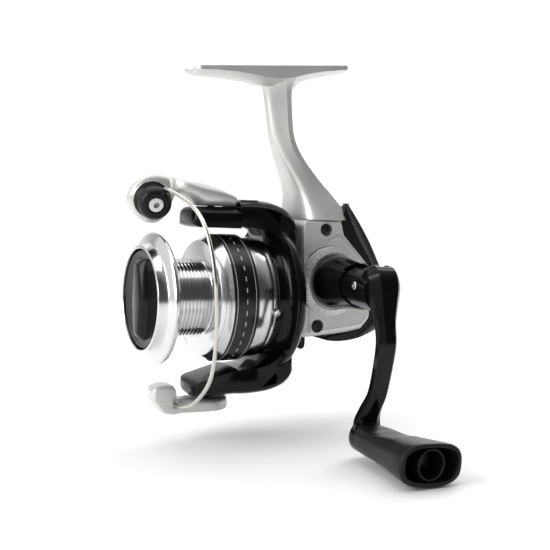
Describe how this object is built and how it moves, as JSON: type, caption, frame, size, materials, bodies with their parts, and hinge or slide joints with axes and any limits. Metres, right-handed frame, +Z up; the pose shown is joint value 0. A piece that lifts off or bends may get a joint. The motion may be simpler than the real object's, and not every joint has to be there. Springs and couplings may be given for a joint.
{
  "type": "spinning reel",
  "caption": "Front-drag spinning reel with a folding crank and paddle knob, wire bail, skirted aluminium spool and rod foot.",
  "frame": {"origin": "centre of the saddle on top of the foot, on the flat along its middle", "axes": "+X towards the handle, +Y towards the angler and away from the spool face, +Z up towards the rod; the spool and rotor axis is parallel to Y and the crank axis to X"},
  "size_m": [0.1065, 0.0946, 0.1289],
  "materials": {
    "silver_paint": "satin silver paint",
    "gloss_black": "polished black",
    "satin_black": "satin black",
    "dark_grey": "satin dark grey",
    "turned_aluminium": "bright turned, with a black anodised band",
    "steel": "satin",
    "black_screw": "blackened",
    "brass": "machined",
    "zinc": "die cast zinc alloy",
    "nylon": "natural nylon",
    "felt": "oiled felt"
  },
  "bodies": {
    "body": {"body_frame": "silver_paint", "side_cover": "silver_paint", "bearing_bezel": "silver_paint", "rear_cover": "dark_grey", "rear_cover_screw": "black_screw", "cover_screw_top": "black_screw", "cover_screw_low": "black_screw", "cover_screw_rear": "black_screw", "clutch_ring": "steel", "front_retainer": "satin_black", "nose_ring": "satin_black", "pinion_bearing": "steel", "drive_bearing_right": "steel", "drive_bearing_left": "steel", "slider_rail": "steel"},
    "lever": {"anti_reverse_lever": "satin_black"},
    "crank": {"crank_cap": "gloss_black", "drive_gear": "zinc", "oscillation_pinion": "zinc", "crank_collar": "gloss_black", "fold_pin": "steel"},
    "arm": {"crank_arm": "gloss_black", "knob_shaft": "steel"},
    "knob": {"handle_knob": "satin_black", "knob_cap": "satin_black"},
    "oscillator": {"oscillation_gear": "zinc"},
    "rotor": {"rotor": "gloss_black", "pinion_gear": "brass", "clutch_sleeve": "steel", "rotor_nut": "steel", "arm_cover_top": "gloss_black", "arm_cover_screw_top": "black_screw", "bail_spring": "steel", "bail_arm_screw": "steel", "bail_holder_screw": "steel"},
    "trip": {"trip_lever": "zinc"},
    "bail": {"bail_arm": "silver_paint", "bail_holder": "silver_paint", "bail_wire": "steel", "bail_wire_cap": "satin_black", "roller_washer": "steel", "roller_screw": "steel"},
    "roller": {"line_roller": "satin_black"},
    "shaft": {"main_shaft": "steel", "oscillation_slider": "zinc", "slider_screw": "black_screw", "spool_collar": "brass", "click_gear": "nylon", "drag_washer_metal": "steel"},
    "spool": {"spool": "turned_aluminium", "line_clip": "steel", "drag_washer_felt": "felt", "drag_washer_felt_outer": "felt", "drag_retainer": "steel", "click_pawl": "nylon"},
    "plate": {"drag_pressure_plate": "steel", "drag_spring": "steel"},
    "drag": {"drag_knob": "satin_black"},
    "nut": {"drag_nut": "brass"}
  },
  "joints": [
    {"name": "handle_crank", "type": "hinge", "parent": "body", "child": "crank", "pos_m": [0, 0.0193, -0.0711], "axis": [1, 0, 0], "continuous": true},
    {"name": "handle_fold", "type": "hinge", "parent": "crank", "child": "arm", "pos_m": [0.0405, 0.01935, -0.0703], "axis": [0, 0.9983, -0.0576], "range_deg": [-90, 0]},
    {"name": "knob_spin", "type": "hinge", "parent": "arm", "child": "knob", "pos_m": [0, 0.01657, -0.11842], "axis": [1, 0, 0], "continuous": true},
    {"name": "oscillation_gear_spin", "type": "hinge", "parent": "body", "child": "oscillator", "pos_m": [0.0052, 0.02887, -0.0761], "axis": [1, 0, 0], "continuous": true},
    {"name": "rotor_spin", "type": "hinge", "parent": "body", "child": "rotor", "pos_m": [0, -0.0407, -0.0774], "axis": [0, 1, 0], "continuous": true},
    {"name": "bail_flip", "type": "hinge", "parent": "rotor", "child": "bail", "pos_m": [0, -0.0202, -0.0774], "axis": [0, 0, 1], "range_deg": [-110, 0]},
    {"name": "bail_trip", "type": "slide", "parent": "rotor", "child": "trip", "axis": [0, 1, 0], "range_m": [0, 0.002]},
    {"name": "roller_spin", "type": "hinge", "parent": "bail", "child": "roller", "pos_m": [0, -0.0411, -0.0447], "axis": [0.9621, -0.1604, -0.2205], "continuous": true},
    {"name": "spool_stroke", "type": "slide", "parent": "body", "child": "shaft", "axis": [0, 1, 0], "range_m": [-0.0095, 0.0005]},
    {"name": "spool_slip", "type": "hinge", "parent": "shaft", "child": "spool", "pos_m": [0, -0.0407, -0.0774], "axis": [0, 1, 0], "continuous": true},
    {"name": "drag_turn", "type": "hinge", "parent": "shaft", "child": "drag", "pos_m": [0, -0.0407, -0.0774], "axis": [0, 1, 0], "range_deg": [-180, 180]},
    {"name": "drag_nut_travel", "type": "slide", "parent": "drag", "child": "nut", "axis": [0, 1, 0], "range_m": [-0.0004, 0.0004]},
    {"name": "drag_plate_travel", "type": "slide", "parent": "shaft", "child": "plate", "axis": [0, 1, 0], "range_m": [-0.00015, 0.00015]},
    {"name": "anti_reverse_switch", "type": "hinge", "parent": "body", "child": "lever", "pos_m": [0, 0.0135, -0.0908], "axis": [0, 0, 1], "range_deg": [0, 35]}
  ],
  "couplings": [
    {"joint": "rotor_spin", "follows": "handle_crank", "ratio": -5},
    {"joint": "oscillation_gear_spin", "follows": "handle_crank", "ratio": -0.5},
    {"joint": "bail_trip", "follows": "bail_flip", "m_per_rad": -0.0010417},
    {"joint": "drag_nut_travel", "follows": "drag_turn", "m_per_rad": 0.0001272},
    {"joint": "drag_plate_travel", "follows": "drag_turn", "m_per_rad": 0.000047699}
  ]
}
